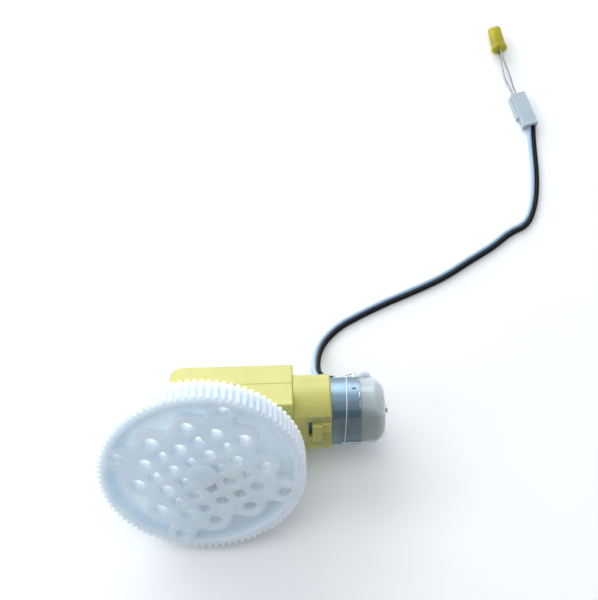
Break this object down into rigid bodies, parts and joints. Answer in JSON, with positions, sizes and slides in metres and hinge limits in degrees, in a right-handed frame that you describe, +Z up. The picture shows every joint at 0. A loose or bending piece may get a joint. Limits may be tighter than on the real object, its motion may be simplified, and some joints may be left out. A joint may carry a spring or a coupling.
{
  "type": "geared dc motor with gear wheel",
  "caption": "Small geared dc motor in a plastic gearbox, with a large toothed wheel on its shaft and a twin lead to a connector and a small lamp.",
  "frame": {"origin": "on the output shaft's axis, in the plane of the gearbox's front face", "axes": "+Z up as it lies on a table on the wheel's back rim and the gearbox's lower back edge; +X along the gearbox towards the motor; the output shaft points out at -Y, tipped up 33.6 degrees"},
  "size_m": [0.1439, 0.1813, 0.0534],
  "materials": {
    "yellow_plastic": "satin",
    "gear_plastic": "satin",
    "wheel_plastic": "satin translucent",
    "bell_plastic": "gloss translucent",
    "clear_plastic": "gloss clear",
    "steel": "bright",
    "zinc_steel": "zinc plated",
    "core_steel": "laminated",
    "ferrite": "sintered",
    "bronze": "sintered",
    "copper": "enamelled wire",
    "brass": "bright",
    "tin": "tinned",
    "glue": "hot-melt",
    "lead_white": "smooth",
    "lead_black": "smooth",
    "connector_plastic": "satin",
    "lamp_plastic": "clear tinted"
  },
  "bodies": {
    "housing": {"front_shell": "yellow_plastic", "rear_shell": "yellow_plastic", "housing_screws": "steel", "middle_gear_pin": "steel", "crown_gear_pin": "steel", "motor_can": "zinc_steel", "field_magnets": "ferrite", "front_bush": "bronze", "rear_bush": "bronze", "brushes": "brass", "motor_strap": "clear_plastic", "motor_terminals": "tin", "end_bell": "bell_plastic", "lead_white": "lead_white", "lead_black": "lead_black", "terminal_glue": "glue", "connector_housing": "connector_plastic", "connector_contacts": "tin", "led_legs": "tin", "led_frame": "tin", "led_lens": "lamp_plastic"},
    "output": {"output_gear": "gear_plastic", "gear_wheel": "wheel_plastic"},
    "middle": {"middle_gear": "gear_plastic"},
    "crown": {"crown_gear": "gear_plastic"},
    "rotor": {"motor_pinion": "brass", "rotor_shaft": "steel", "rotor_core": "core_steel", "rotor_windings": "copper", "commutator": "copper"}
  },
  "joints": [
    {"name": "output_spin", "type": "hinge", "parent": "housing", "child": "output", "pos_m": [0, 0.00783, -0.0052], "axis": [0, 0.8328, -0.5535], "continuous": true},
    {"name": "middle_spin", "type": "hinge", "parent": "housing", "child": "middle", "pos_m": [0.01, 0.00783, -0.0052], "axis": [0, 0.8328, -0.5535], "continuous": true},
    {"name": "crown_spin", "type": "hinge", "parent": "housing", "child": "crown", "pos_m": [0.018, 0.00783, -0.0052], "axis": [0, 0.8328, -0.5535], "continuous": true},
    {"name": "rotor_spin", "type": "hinge", "parent": "housing", "child": "rotor", "pos_m": [0, 0.00783, -0.0052], "axis": [1, 0, 0], "continuous": true}
  ],
  "couplings": [
    {"joint": "middle_spin", "follows": "output_spin", "ratio": -4},
    {"joint": "crown_spin", "follows": "output_spin", "ratio": 16},
    {"joint": "rotor_spin", "follows": "output_spin", "ratio": 48}
  ]
}
